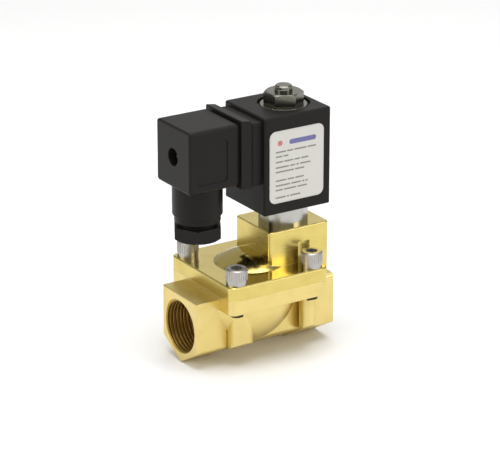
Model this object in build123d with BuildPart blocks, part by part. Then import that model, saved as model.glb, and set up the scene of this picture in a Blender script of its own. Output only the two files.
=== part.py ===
from build123d import *
import math
import os

# Servo-assisted solenoid valve, G3/4 female ports, normally closed, with a square coil
# and a three-pin plug. Millimetres. X runs with the flow, Z is up.
# The origin is on the port axis, at the first full thread of the inlet.

# ---- general clearances -------------------------------------------------------------
running_fit = 0.06  # radial, one piece turning on another
thread_fit = 0.05  # radial, screws in their tapped holes
guide_fit = 0.08  # radial, plunger in its tube and coil on its tube
slip = 0.1  # per side, pieces that are pushed together

# ---- ports ---------------------------------------------------------------------------
thread_pitch = 1.814
thread_major_r = 26.441 / 2
thread_minor_r = 24.117 / 2
thread_land = 1.1  # flat left on each thread crest
groove_overlap = 0.15  # how far the cut starts inside the bore
thread_turns = 7
mouth_r = 12.6  # radius of the mouth chamfer at the face
port_across = 30.0  # across the side flats
port_top = 15.8  # flat top above the port axis
keel_round = 2.0
inlet_block_length = 15.7
outlet_block_length = 18.3
web_inset = 0.7  # how far the middle of the body lies inside the port flats
passage_r = 7.0

body_length = 74.5
inlet_reach = 37.5  # from the inlet face to the valve axis
mouth_depth = mouth_r - thread_minor_r
x_face = -mouth_depth - thread_land / 2
centre_x = x_face + inlet_reach
x_outlet = x_face + body_length
thread_length = thread_turns * thread_pitch + thread_land

# ---- flange, cover plate and their screws ---------------------------------------------
plate_size = 52.8
plate_corner_r = 3.2
flange_thickness = 6.7
plate_thickness = 6.7
seam_z = 18.0
flange_z = seam_z - flange_thickness
plate_z = seam_z + plate_thickness
screw_pitch_x = 40.6
screw_pitch_y = 42.2
screw_r = 3.0
screw_head_r = 4.9
screw_head_height = 6.0
screw_hole_depth = 9.6
washer_height = 1.5
screw_clearance = 0.3
hex_key_across = 5.0

# ---- valve chamber ---------------------------------------------------------------------
bulge_r = 26.2
bulge_x = centre_x - 5.5
bulge_z = 14.0
inlet_boss_r = 6.0
inlet_boss_in_x = 4.4  # boss centre, inwards from its screw
inlet_boss_in_y = 4.0
inlet_boss_drop = 1.0  # how far its foot lies below the keel planes
outlet_boss_r = 3.8
outlet_boss_in_x = 0.6
outlet_boss_in_y = 2.4
outlet_boss_drop = 0.0
ring_outer_r = 16.2
ring_inner_r = 10.2
ring_floor_z = 8.5
seat_r = 7.5
seat_z = 13.0
seat_bore_depth = 20.0
well_length = 5.4  # opening from the inlet passage up into the ring
well_width = 16.0

# ---- diaphragm group -------------------------------------------------------------------
diaphragm_r = 20.5
diaphragm_thickness = 1.5
stem_r = 3.0
disc_r = 11.5
seal_r = 10.6
seal_thickness = 1.5
upper_plate_r = 12.0
upper_plate_thickness = 1.5
stem_nut_across = 9.5
stem_nut_height = 3.4
stem_above_nut = 1.0
main_lift = 3.2
bleed_r = 0.75
main_spring_r = 8.6
main_spring_wire_r = 0.6
main_spring_turns = 3.5

# ---- bonnet ------------------------------------------------------------------------------
dome_base_r = 16.5
dome_height = 5.8
cavity_r = 14.5
cavity_step_z = 24.4
spring_room_r = 10.0
spring_room_z = 26.5
stem_room_r = 6.2
stem_room_z = 28.3
tower_back = 16.7  # from the tube axis towards the inlet
tower_front = 15.6
tower_y_size = 29.0
tower_z = 42.0
tower_corner_r = 1.6
tube_x = centre_x + 18.4
relief_r = 7.3
relief_top_z = 34.8
pilot_floor_z = 33.0
pilot_drill_r = 1.1
feed_r = 1.0

# ---- armature tube, plunger and core --------------------------------------------------------
collar_across = 22.0
coil_z = 51.6  # underside of the coil, on top of the collar
spigot_r = 9.0
tube_outer_r = 6.5
tube_inner_r = 5.6
o_ring_section_r = 0.75
o_ring_seat_r = 10.65
o_ring_seat_depth = 1.8
nozzle_r = 3.0
nozzle_bore_r = 0.8
nozzle_top_z = 35.2
plunger_r = tube_inner_r - guide_fit
plunger_seal_r = 2.6
plunger_seal_depth = 2.0
plunger_top_z = 72.0
plunger_stroke = 1.6
plunger_spring_r = 2.2
plunger_spring_wire_r = 0.35
plunger_spring_turns = 7
plunger_spring_seat_z = 60.0
plunger_bore_r = 2.9
core_z = plunger_top_z + plunger_stroke
tube_top_z = 95.2
stud_r = 4.0
stud_top_z = 106.3
shading_inner_r = 3.7
shading_outer_r = 4.6
shading_depth = 1.6

# ---- coil ---------------------------------------------------------------------------------------
coil_back = 21.0  # from the tube axis towards the plug
coil_front = 14.65  # from the tube axis towards the outlet
coil_width = 33.6
coil_top_z = 97.9
coil_edge_r = 1.0
coil_wall_side = 3.0
yoke_thickness = 3.0
yoke_top_z = 95.7
bore_r = tube_outer_r + guide_fit
bobbin_hub_r = 7.8
bobbin_r = 12.4
bobbin_flange = 1.5
winding_r = 12.0
recess_r = 12.15
nut_washer_r = 11.0
nut_washer_thickness = 1.8
nut_across = 16.0
nut_top_z = 103.5
nut_turn = 32.55 - 90.0  # direction that one flat of the coil nut faces
collar_turn = 36.9  # direction that one corner of the collar faces
terminal_length = 5.0
terminal_width = 29.0
terminal_bottom_z = 66.2
terminal_top_z = 96.2
label_length = 29.1
label_height = 34.2
label_thickness = 0.2
label_corner_r = 3.2
label_z = 56.9
label_in = 2.6  # from the coil's edge on the plug side

# ---- plug ------------------------------------------------------------------------------------------
plug_z = 82.4  # centre of the plug
plug_length = 25.0
plug_width = 28.4
plug_height = 29.2
plug_wall = 2.0
plug_edge_r = 1.6
neck_length = 1.6
neck_inset = 1.2
rim_length = 5.1
rim_width = 30.0
rim_bottom_z = 65.9
rim_top_z = 98.4
rim_slope = 0.8  # drop of the rim's top towards the coil
gasket_length = 1.0
gasket_inset = 0.4
side_panel_length = 16.0
side_panel_height = 20.2
side_panel_depth = 0.4
side_panel_drop = 0.8  # its centre, below the plug's
plug_hole_r = 4.2
plug_hole_depth = 7.0
plug_post_r = 5.6
plug_screw_r = 1.5
plug_screw_head_r = 2.75
plug_screw_head = 3.0
plug_screw_bite = 3.5
plug_travel = 12.0
pin_width = 6.3
pin_thickness = 0.8
pin_reach = 9.0
pin_root = 3.0
pin_offset = 9.0
clip_wall = 0.9
clip_gap = 0.3
clip_length = 8.0
insert_length = 15.5

# ---- cable gland ----------------------------------------------------------------------------------
gland_r = 11.5
gland_step_r = 10.6
gland_thread_r = 9.0
gland_bore_r = 7.5
gland_z = 53.9
gland_step_z = 50.6
gland_thread_z = 44.1
gland_nut_across = 20.8
gland_nut_z = 41.9
gland_nut_top_z = 48.4
gland_nut_floor = 1.7
gland_mouth_r = 5.5
gland_nut_turn = 0.0  # direction that one corner of the gland nut faces
gland_washer_thickness = 0.5
gland_washer_bore_r = 4.0
gland_seal_bore_r = 3.25
gland_seal_length = 8.0

# ---- derived places ----------------------------------------------------------------------------------
half_port = port_across / 2
tan30 = math.tan(math.radians(30))
dome_sphere_r = (dome_base_r**2 + dome_height**2) / (2 * dome_height)
coil_back_x = tube_x - coil_back
coil_front_x = tube_x + coil_front
terminal_x = coil_back_x - terminal_length
gasket_x = terminal_x - gasket_length
rim_x = gasket_x - rim_length
neck_x = rim_x - neck_length
plug_x = neck_x - plug_length
gland_x = plug_x + plug_length / 2
plug_floor_z = plug_z - plug_height / 2
valve_axis = Axis((centre_x, 0, 0), (0, 0, 1))
tube_axis = Axis((tube_x, 0, 0), (0, 0, 1))
gland_axis = Axis((gland_x, 0, 0), (0, 0, 1))
plug_axis = Axis((0, 0, plug_z), (1, 0, 0))
screw_x = (centre_x - screw_pitch_x / 2, centre_x + screw_pitch_x / 2)
screw_y = (-screw_pitch_y / 2, screw_pitch_y / 2)
diaphragm_z = seam_z - diaphragm_thickness
pin_places = [(-pin_offset, 0, False), (pin_offset, 0, False), (0, -pin_offset, True)]


def at_height(z, x=0.0, y=0.0):
    """Horizontal plane at height z with its origin over (x, y)."""
    return Plane(origin=(x, y, z), z_dir=(0, 0, 1))


def across_flow(x):
    """Plane square to the flow at x: its x is Y and its y is Z."""
    return Plane.YZ.offset(x)


def hex_radius(across):
    """Corner radius of a hexagon of the given size across its flats."""
    return across / 2 / math.cos(math.radians(30))


def ring_profile(x, r0, r1, z0, z1):
    """Rectangle in the XZ plane from radius r0 to r1, to be revolved about x."""
    with Locations((x + (r0 + r1) / 2, (z0 + z1) / 2)):
        Rectangle(r1 - r0, z1 - z0)


def keel_profile(half, top, vertex):
    """Outline with a flat top, upright sides and a 30 degree keel."""
    shoulder = vertex + half * tan30
    Polygon(
        (-half, shoulder),
        (0, vertex),
        (half, shoulder),
        (half, top),
        (-half, top),
        align=None,
    )


# ---- screw bosses: four columns under the flange, cut below by the keel planes ---------
keel_z = -half_port / math.cos(math.radians(30))
inlet_boss = (screw_x[0] + inlet_boss_in_x, inlet_boss_in_y, inlet_boss_r, inlet_boss_drop)
outlet_boss = (screw_x[1] - outlet_boss_in_x, outlet_boss_in_y, outlet_boss_r, outlet_boss_drop)
boss_pairs = []
for boss_x, inward, radius, drop in (inlet_boss, outlet_boss):
    with BuildPart() as boss_pair:
        with BuildSketch(at_height(keel_z)):
            for y in screw_y:
                with Locations((boss_x, y - math.copysign(inward, y))):
                    Circle(radius)
        extrude(amount=flange_z - keel_z)
        with BuildSketch(across_flow(x_face)):
            keel_profile(plate_size / 2, flange_z, keel_z - drop)
        extrude(amount=body_length, mode=Mode.INTERSECT)
    boss_pairs.append(boss_pair.part)

# ---- thread grooves: one V groove along a helix in each port, running in from the mouth ----
groove_half = (thread_pitch - thread_land) / 2
groove_depth = thread_major_r - thread_minor_r
groove_flare = groove_overlap * groove_half / groove_depth
port_grooves = []
for crest_x, inward in ((x_face + mouth_depth, 1), (x_outlet - mouth_depth, -1)):
    groove_x = crest_x + inward * (thread_land / 2 - 1.5 * thread_pitch)
    groove_run = (thread_turns + 1) * thread_pitch
    with BuildPart() as port_groove:
        with BuildLine() as groove_line:
            Helix(
                thread_pitch,
                groove_run,
                thread_minor_r,
                center=(groove_x, 0, 0),
                direction=(inward, 0, 0),
            )
        groove_start = groove_line.line @ 0
        outward = Vector(0, groove_start.Y, groove_start.Z).normalized()
        with BuildSketch(Plane(groove_start, x_dir=outward, z_dir=groove_line.line % 0)):
            Polygon(
                (-groove_overlap, -groove_half - groove_flare),
                (-groove_overlap, groove_half + groove_flare),
                (groove_depth, 0),
                align=None,
            )
        sweep(is_frenet=True)
    port_grooves.append(port_groove.part)

# ---- brass body ---------------------------------------------------------------------------
with BuildPart() as body:
    with BuildSketch(across_flow(x_face)) as port_sketch:
        keel_profile(half_port, port_top, keel_z)
        fillet(port_sketch.vertices().sort_by(Axis.Z)[0], keel_round)
    extrude(amount=inlet_block_length)
    with BuildSketch(across_flow(x_face + inlet_block_length)) as web_sketch:
        keel_profile(half_port - web_inset, port_top - web_inset, keel_z + web_inset)
        fillet(web_sketch.vertices().sort_by(Axis.Z)[0], keel_round)
    extrude(amount=body_length - inlet_block_length - outlet_block_length)
    with BuildSketch(across_flow(x_outlet - outlet_block_length)) as outlet_sketch:
        keel_profile(half_port, port_top, keel_z)
        fillet(outlet_sketch.vertices().sort_by(Axis.Z)[0], keel_round)
    extrude(amount=outlet_block_length)
    end_faces = body.faces().filter_by(Axis.X)
    end_edges = end_faces.sort_by(Axis.X)[0].edges() + end_faces.sort_by(Axis.X)[-1].edges()
    chamfer(end_edges, 0.4)
    # chamber bulging out under the flange
    with BuildSketch(Plane.XZ) as bulge_sketch:
        with Locations((bulge_x, bulge_z)):
            Circle(bulge_r)
        with Locations((bulge_x, flange_z)):
            half_plane = (Align.MIN, Align.MAX)
            Rectangle(bulge_r, 2 * bulge_r, align=half_plane, mode=Mode.INTERSECT)
    revolve(axis=Axis((bulge_x, 0, 0), (0, 0, 1)))
    for boss_pair in boss_pairs:
        add(boss_pair)
    # flange
    with BuildSketch(at_height(flange_z, centre_x)):
        RectangleRounded(plate_size, plate_size, plate_corner_r)
    extrude(amount=flange_thickness)
    # tapped ports: mouth chamfer, bore at the thread crests, then the thread grooves
    for end, inward in ((x_face, 1), (x_outlet, -1)):
        crest = end + inward * mouth_depth
        root = crest + inward * thread_length
        with BuildSketch(Plane.XZ):
            Polygon(
                (end, 0),
                (end, mouth_r),
                (crest, thread_minor_r),
                (root, thread_minor_r),
                (root + inward * (thread_minor_r - passage_r), passage_r),
                (root + inward * (thread_minor_r - passage_r), 0),
                align=None,
            )
        revolve(axis=Axis.X, mode=Mode.SUBTRACT)
    for port_groove in port_grooves:
        add(port_groove, mode=Mode.SUBTRACT)
    # outlet passage up to the seat
    with BuildSketch(across_flow(centre_x)):
        Circle(passage_r)
    extrude(amount=x_outlet - centre_x - mouth_depth - thread_length, mode=Mode.SUBTRACT)
    # inlet passage, then the well that rises into the ring chamber
    well_end = centre_x - ring_inner_r - 0.4
    well_start = well_end - well_length
    with BuildSketch(across_flow(x_face + mouth_depth + thread_length)):
        Circle(passage_r)
    passage_run = well_end - x_face - mouth_depth - thread_length
    extrude(amount=passage_run, mode=Mode.SUBTRACT)
    with BuildSketch(at_height(0)):
        with Locations((well_start, 0)):
            Rectangle(well_length, well_width, align=(Align.MIN, Align.CENTER))
    extrude(amount=ring_floor_z + 1, mode=Mode.SUBTRACT)
    # ring chamber, seat bore and diaphragm pocket
    with BuildSketch(Plane.XZ):
        ring_profile(centre_x, ring_inner_r, ring_outer_r, ring_floor_z, seam_z)
        ring_profile(centre_x, 0, ring_inner_r, seat_z, seam_z)
        ring_profile(centre_x, 0, seat_r, seat_z - seat_bore_depth, seat_z)
        ring_profile(centre_x, 0, diaphragm_r, diaphragm_z, seam_z)
    revolve(axis=valve_axis, mode=Mode.SUBTRACT)
    # pilot return into the outlet passage
    with BuildSketch(at_height(0, tube_x)):
        Circle(pilot_drill_r)
    extrude(amount=seam_z, mode=Mode.SUBTRACT)
    # tapped holes for the bonnet screws
    with BuildSketch(at_height(seam_z - screw_hole_depth)):
        for x in screw_x:
            for y in screw_y:
                with Locations((x, y)):
                    Circle(screw_r)
    extrude(amount=screw_hole_depth, mode=Mode.SUBTRACT)
body.part.label = "body"

# ---- brass bonnet: plate, dome and pilot tower ----------------------------------------------
with BuildPart() as bonnet:
    with BuildSketch(at_height(seam_z, centre_x)):
        RectangleRounded(plate_size, plate_size, plate_corner_r)
    extrude(amount=plate_thickness)
    plate_top = bonnet.faces().sort_by(Axis.Z)[-1]
    chamfer(plate_top.edges(), 0.5)
    sphere_z = plate_z + dome_height - dome_sphere_r
    with BuildSketch(Plane.XZ):
        with Locations((centre_x, sphere_z)):
            Circle(dome_sphere_r)
        with Locations((centre_x, plate_z - 1)):
            quarter = (Align.MIN, Align.MIN)
            Rectangle(dome_sphere_r, dome_sphere_r, align=quarter, mode=Mode.INTERSECT)
    revolve(axis=valve_axis)
    with BuildSketch(at_height(seam_z, tube_x + (tower_front - tower_back) / 2)):
        RectangleRounded(tower_back + tower_front, tower_y_size, tower_corner_r)
    extrude(amount=tower_z - seam_z)
    tower_top = bonnet.faces().sort_by(Axis.Z)[-1]
    chamfer(tower_top.edges(), 0.4)
    # room for a spanner and for the washers beside the tower
    with BuildSketch(at_height(plate_z)):
        for y in screw_y:
            with Locations((screw_x[1], y)):
                Circle(relief_r)
    extrude(amount=relief_top_z - plate_z, mode=Mode.SUBTRACT)
    # room above the diaphragm
    with BuildSketch(Plane.XZ):
        ring_profile(centre_x, 0, cavity_r, seam_z, cavity_step_z)
        ring_profile(centre_x, 0, spring_room_r, seam_z, spring_room_z)
        ring_profile(centre_x, 0, stem_room_r, seam_z, stem_room_z)
    revolve(axis=valve_axis, mode=Mode.SUBTRACT)
    # bore for the armature tube, o-ring seat, nozzle seat and pilot drilling
    with BuildSketch(Plane.XZ):
        ring_profile(tube_x, 0, spigot_r + thread_fit, pilot_floor_z, tower_z)
        ring_profile(tube_x, 0, o_ring_seat_r, tower_z - o_ring_seat_depth, tower_z)
        ring_profile(tube_x, 0, nozzle_r, pilot_floor_z - 3, pilot_floor_z)
        ring_profile(tube_x, 0, pilot_drill_r, seam_z, pilot_floor_z)
    revolve(axis=tube_axis, mode=Mode.SUBTRACT)
    # feed from the room above the diaphragm to the pilot chamber
    feed_x = centre_x + cavity_r - 2 * feed_r
    with BuildSketch(at_height(cavity_step_z - 1, feed_x)):
        Circle(feed_r)
    extrude(amount=pilot_floor_z - cavity_step_z + 1.5, mode=Mode.SUBTRACT)
    # clearance holes for the screws
    with BuildSketch(at_height(seam_z)):
        for x in screw_x:
            for y in screw_y:
                with Locations((x, y)):
                    Circle(screw_r + screw_clearance)
    extrude(amount=plate_thickness, mode=Mode.SUBTRACT)
bonnet.part.label = "bonnet"

# ---- bonnet screws and their spring washers ---------------------------------------------------
head_z = plate_z + washer_height
shank_r = screw_r - thread_fit
with BuildPart() as bonnet_screws:
    with BuildSketch(at_height(seam_z - screw_hole_depth + 0.6)):
        for x in screw_x:
            for y in screw_y:
                with Locations((x, y)):
                    Circle(shank_r)
    extrude(amount=head_z - seam_z + screw_hole_depth - 0.6)
    with BuildSketch(at_height(head_z)):
        for x in screw_x:
            for y in screw_y:
                with Locations((x, y)):
                    Circle(screw_head_r)
    extrude(amount=screw_head_height)
    head_tops = bonnet_screws.faces().group_by(Axis.Z)[-1]
    chamfer(head_tops.edges(), 0.5)
    with BuildSketch(at_height(head_z + screw_head_height)):
        for x in screw_x:
            for y in screw_y:
                with Locations((x, y)):
                    RegularPolygon(hex_radius(hex_key_across), 6)
    extrude(amount=-screw_head_height / 2, mode=Mode.SUBTRACT)
bonnet_screws.part.label = "bonnet_screws"

with BuildPart() as spring_washers:
    with BuildSketch(at_height(plate_z)):
        for x in screw_x:
            for y in screw_y:
                with Locations((x, y)):
                    Circle(screw_head_r)
                    Circle(screw_r + screw_clearance, mode=Mode.SUBTRACT)
                with Locations((x - screw_head_r, y)):
                    Rectangle(screw_head_r, 0.8, align=(Align.CENTER, Align.CENTER), mode=Mode.SUBTRACT)
    extrude(amount=washer_height)
spring_washers.part.label = "spring_washers"

# ---- diaphragm group ------------------------------------------------------------------------------
with BuildPart() as diaphragm:
    with BuildSketch(at_height(diaphragm_z, centre_x)):
        Circle(diaphragm_r)
        Circle(stem_r, mode=Mode.SUBTRACT)
        with Locations((tube_x - centre_x, 0)):
            Circle(pilot_drill_r, mode=Mode.SUBTRACT)
        with Locations((-(disc_r + ring_outer_r) / 2, 0)):
            Circle(bleed_r, mode=Mode.SUBTRACT)
    extrude(amount=diaphragm_thickness)
diaphragm.part.label = "diaphragm"

with BuildPart() as valve_disc:
    with BuildSketch(Plane.XZ):
        ring_profile(centre_x, 0, disc_r, seat_z + seal_thickness, diaphragm_z)
        ring_profile(centre_x, seal_r, disc_r, seat_z, diaphragm_z)
        stem_top_z = seam_z + upper_plate_thickness + stem_nut_height + stem_above_nut
        ring_profile(centre_x, 0, stem_r, diaphragm_z, stem_top_z)
    revolve(axis=valve_axis)
    chamfer(valve_disc.faces().sort_by(Axis.Z)[-1].edges(), 0.4)
valve_disc.part.label = "valve_disc"

with BuildPart() as seat_seal:
    with BuildSketch(at_height(seat_z, centre_x)):
        Circle(seal_r)
    extrude(amount=seal_thickness)
seat_seal.part.label = "seat_seal"

with BuildPart() as diaphragm_plate:
    with BuildSketch(at_height(seam_z, centre_x)):
        Circle(upper_plate_r)
        Circle(stem_r + thread_fit, mode=Mode.SUBTRACT)
    extrude(amount=upper_plate_thickness)
    chamfer(diaphragm_plate.faces().sort_by(Axis.Z)[-1].edges().sort_by(SortBy.LENGTH)[-1], 0.5)
diaphragm_plate.part.label = "diaphragm_plate"

with BuildPart() as stem_nut:
    with BuildSketch(at_height(seam_z + upper_plate_thickness, centre_x)):
        RegularPolygon(hex_radius(stem_nut_across), 6)
        Circle(stem_r + thread_fit, mode=Mode.SUBTRACT)
    extrude(amount=stem_nut_height)
stem_nut.part.label = "stem_nut"

main_spring_z = seam_z + upper_plate_thickness
main_spring_height = spring_room_z - main_spring_z
with BuildPart() as main_spring:
    with BuildLine(at_height(main_spring_z + main_spring_wire_r, centre_x)) as main_coil_line:
        main_pitch = (main_spring_height - 2 * main_spring_wire_r) / main_spring_turns
        main_rise = main_spring_height - 2 * main_spring_wire_r
        Helix(main_pitch, main_rise, main_spring_r)
    with BuildSketch(Plane(main_coil_line.line @ 0, z_dir=main_coil_line.line % 0)):
        Circle(main_spring_wire_r)
    sweep(is_frenet=True)
main_spring.part.label = "main_spring"

# ---- pilot nozzle, armature tube, core and plunger --------------------------------------------
with BuildPart() as pilot_nozzle:
    with BuildSketch(Plane.XZ):
        Polygon(
            (tube_x + nozzle_bore_r, pilot_floor_z - 3),
            (tube_x + nozzle_r, pilot_floor_z - 3),
            (tube_x + nozzle_r, pilot_floor_z + 0.6),
            (tube_x + nozzle_bore_r + 0.5, nozzle_top_z),
            (tube_x + nozzle_bore_r, nozzle_top_z),
            align=None,
        )
    revolve(axis=tube_axis)
pilot_nozzle.part.label = "pilot_nozzle"

with BuildPart() as armature_tube:
    with BuildSketch(at_height(tower_z, tube_x)):
        RegularPolygon(hex_radius(collar_across), 6, rotation=collar_turn)
    extrude(amount=coil_z - tower_z)
    collar_rim_r = collar_across / 2 + 0.4
    with BuildSketch(Plane.XZ):
        Polygon(
            (tube_x, tower_z - 1),
            (tube_x + collar_rim_r, tower_z - 1),
            (tube_x + collar_rim_r, coil_z - 0.9),
            (tube_x + collar_rim_r - 1.5, coil_z),
            (tube_x, coil_z),
            align=None,
        )
    revolve(axis=tube_axis, mode=Mode.INTERSECT)
    with BuildSketch(Plane.XZ):
        ring_profile(tube_x, 0, spigot_r, pilot_floor_z + 1.2, tower_z)
        ring_profile(tube_x, 0, tube_outer_r, coil_z, tube_top_z)
    revolve(axis=tube_axis)
    with BuildSketch(at_height(pilot_floor_z, tube_x)):
        Circle(tube_inner_r)
    extrude(amount=tube_top_z - pilot_floor_z, mode=Mode.SUBTRACT)
armature_tube.part.label = "armature_tube"

with BuildPart() as tube_o_ring:
    o_ring_r = (spigot_r + o_ring_seat_r) / 2
    with BuildSketch(Plane.XZ):
        with Locations((tube_x + o_ring_r, tower_z - o_ring_seat_depth / 2)):
            Circle(o_ring_section_r)
    revolve(axis=tube_axis)
tube_o_ring.part.label = "tube_o_ring"

with BuildPart() as fixed_core:
    with BuildSketch(Plane.XZ):
        ring_profile(tube_x, 0, tube_inner_r, core_z, tube_top_z)
        ring_profile(tube_x, 0, stud_r, tube_top_z, stud_top_z)
    revolve(axis=tube_axis)
    chamfer(fixed_core.faces().sort_by(Axis.Z)[-1].edges(), 0.6)
    with BuildSketch(Plane.XZ):
        ring_profile(tube_x, shading_inner_r, shading_outer_r, core_z, core_z + shading_depth)
    revolve(axis=tube_axis, mode=Mode.SUBTRACT)
fixed_core.part.label = "fixed_core"

with BuildPart() as shading_ring:
    with BuildSketch(at_height(core_z, tube_x)):
        Circle(shading_outer_r)
        Circle(shading_inner_r, mode=Mode.SUBTRACT)
    extrude(amount=shading_depth)
shading_ring.part.label = "shading_ring"

with BuildPart() as plunger:
    with BuildSketch(at_height(nozzle_top_z, tube_x)):
        Circle(plunger_r)
    extrude(amount=plunger_top_z - nozzle_top_z)
    chamfer(plunger.faces().sort_by(Axis.Z)[0].edges(), 0.8)
    with BuildSketch(Plane.XZ):
        ring_profile(tube_x, 0, plunger_seal_r, nozzle_top_z, nozzle_top_z + plunger_seal_depth)
        ring_profile(tube_x, 0, plunger_bore_r, plunger_spring_seat_z, plunger_top_z)
    revolve(axis=tube_axis, mode=Mode.SUBTRACT)
    # flats that let the fluid past
    with BuildSketch(at_height(nozzle_top_z, tube_x)):
        for side in (-1, 1):
            with Locations((0, side * plunger_r)):
                Rectangle(2 * plunger_r, 1.2, mode=Mode.ADD)
    extrude(amount=plunger_top_z - nozzle_top_z, mode=Mode.SUBTRACT)
plunger.part.label = "plunger"

with BuildPart() as plunger_seal:
    with BuildSketch(at_height(nozzle_top_z, tube_x)):
        Circle(plunger_seal_r)
    extrude(amount=plunger_seal_depth)
plunger_seal.part.label = "plunger_seal"

with BuildPart() as plunger_spring:
    spring_rise = core_z - plunger_spring_seat_z - 2 * plunger_spring_wire_r
    with BuildLine(at_height(plunger_spring_seat_z + plunger_spring_wire_r, tube_x)) as spring_line:
        Helix(spring_rise / plunger_spring_turns, spring_rise, plunger_spring_r)
    with BuildSketch(Plane(spring_line.line @ 0, z_dir=spring_line.line % 0)):
        Circle(plunger_spring_wire_r)
    sweep(is_frenet=True)
plunger_spring.part.label = "plunger_spring"

# ---- coil -------------------------------------------------------------------------------------------
cavity_back_x = tube_x - bobbin_r - 0.6 - yoke_thickness
cavity_front_x = coil_front_x - 1.6
cavity_length = cavity_front_x - cavity_back_x
cavity_width = coil_width - 2 * coil_wall_side
cavity_mid_x = (cavity_front_x + cavity_back_x) / 2
with BuildPart() as coil_housing:
    with BuildSketch(at_height(coil_z, (coil_back_x + coil_front_x) / 2)):
        RectangleRounded(coil_front_x - coil_back_x, coil_width, coil_edge_r)
    extrude(amount=coil_top_z - coil_z)
    chamfer(coil_housing.faces().sort_by(Axis.Z)[-1].edges(), 0.6)
    chamfer(coil_housing.faces().sort_by(Axis.Z)[0].edges(), 0.4)
    # base that carries the pins
    terminal_mid_z = (terminal_bottom_z + terminal_top_z) / 2
    with BuildSketch(across_flow(terminal_x)):
        with Locations((0, terminal_mid_z)):
            RectangleRounded(terminal_width, terminal_top_z - terminal_bottom_z, 1.2)
    extrude(amount=terminal_length)
    # room for the yoke and winding, open below
    with BuildSketch(at_height(coil_z, cavity_mid_x)):
        Rectangle(cavity_length, cavity_width)
    extrude(amount=yoke_top_z - coil_z, mode=Mode.SUBTRACT)
    # round recess around the nut
    with BuildSketch(at_height(yoke_top_z, tube_x)):
        Circle(recess_r)
    extrude(amount=coil_top_z - yoke_top_z, mode=Mode.SUBTRACT)
    # slots for the pins and hole for the plug's screw
    with BuildSketch(across_flow(terminal_x)):
        for y, z, flat in pin_places:
            width, height = (pin_width, pin_thickness) if flat else (pin_thickness, pin_width)
            with Locations((y, plug_z + z)):
                Rectangle(width, height)
    extrude(amount=pin_root, mode=Mode.SUBTRACT)
    with BuildSketch(across_flow(terminal_x)):
        with Locations((0, plug_z)):
            Circle(plug_screw_r + thread_fit)
    extrude(amount=plug_screw_bite + 0.4, mode=Mode.SUBTRACT)
coil_housing.part.label = "coil_housing"

with BuildPart() as yoke:
    with BuildSketch(at_height(coil_z, cavity_mid_x)):
        Rectangle(cavity_length, cavity_width)
    extrude(amount=yoke_top_z - coil_z)
    with BuildSketch(at_height(coil_z + yoke_thickness, cavity_back_x + yoke_thickness)):
        Rectangle(cavity_length, cavity_width + 2, align=(Align.MIN, Align.CENTER))
    extrude(amount=yoke_top_z - coil_z - 2 * yoke_thickness, mode=Mode.SUBTRACT)
    with BuildSketch(at_height(coil_z, tube_x)):
        Circle(bore_r)
    extrude(amount=yoke_top_z - coil_z, mode=Mode.SUBTRACT)
yoke.part.label = "yoke"

bobbin_z = coil_z + yoke_thickness
bobbin_top_z = yoke_top_z - yoke_thickness
with BuildPart() as bobbin:
    with BuildSketch(Plane.XZ):
        ring_profile(tube_x, bore_r, bobbin_hub_r, bobbin_z, bobbin_top_z)
        ring_profile(tube_x, bore_r, bobbin_r, bobbin_z, bobbin_z + bobbin_flange)
        ring_profile(tube_x, bore_r, bobbin_r, bobbin_top_z - bobbin_flange, bobbin_top_z)
    revolve(axis=tube_axis)
bobbin.part.label = "bobbin"

with BuildPart() as winding:
    with BuildSketch(at_height(bobbin_z + bobbin_flange, tube_x)):
        Circle(winding_r)
        Circle(bobbin_hub_r, mode=Mode.SUBTRACT)
    extrude(amount=bobbin_top_z - bobbin_z - 2 * bobbin_flange)
winding.part.label = "winding"

with BuildPart() as terminal_pins:
    with BuildSketch(across_flow(terminal_x - pin_reach)):
        for y, z, flat in pin_places:
            width, height = (pin_width, pin_thickness) if flat else (pin_thickness, pin_width)
            with Locations((y, plug_z + z)):
                Rectangle(width, height)
    extrude(amount=pin_reach + pin_root)
terminal_pins.part.label = "terminal_pins"

with BuildPart() as rating_label:
    label_mid_x = coil_back_x + label_in + label_length / 2
    with BuildSketch(Plane.XZ.offset(coil_width / 2)):
        with Locations((label_mid_x, label_z + label_height / 2)):
            RectangleRounded(label_length, label_height, label_corner_r)
    extrude(amount=label_thickness)
rating_label.part.label = "rating_label"

with BuildPart() as nut_washer:
    with BuildSketch(at_height(yoke_top_z, tube_x)):
        Circle(nut_washer_r)
        Circle(stud_r + 0.3, mode=Mode.SUBTRACT)
    extrude(amount=nut_washer_thickness)
    chamfer(nut_washer.faces().sort_by(Axis.Z)[-1].edges().sort_by(SortBy.LENGTH)[-1], 0.3)
nut_washer.part.label = "nut_washer"

nut_z = yoke_top_z + nut_washer_thickness
with BuildPart() as coil_nut:
    with BuildSketch(at_height(nut_z, tube_x)):
        RegularPolygon(hex_radius(nut_across), 6, rotation=nut_turn + 30)
    extrude(amount=nut_top_z - nut_z)
    nut_corner_r = hex_radius(nut_across)
    with BuildSketch(Plane.XZ):
        Polygon(
            (tube_x, nut_z),
            (tube_x + nut_corner_r - 0.5, nut_z),
            (tube_x + nut_corner_r, nut_z + 0.3),
            (tube_x + nut_corner_r, nut_top_z - 0.7),
            (tube_x + nut_corner_r - 1.3, nut_top_z),
            (tube_x, nut_top_z),
            align=None,
        )
    revolve(axis=tube_axis, mode=Mode.INTERSECT)
    with BuildSketch(at_height(nut_z, tube_x)):
        Circle(stud_r + running_fit)
    extrude(amount=nut_top_z - nut_z, mode=Mode.SUBTRACT)
coil_nut.part.label = "coil_nut"

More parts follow.
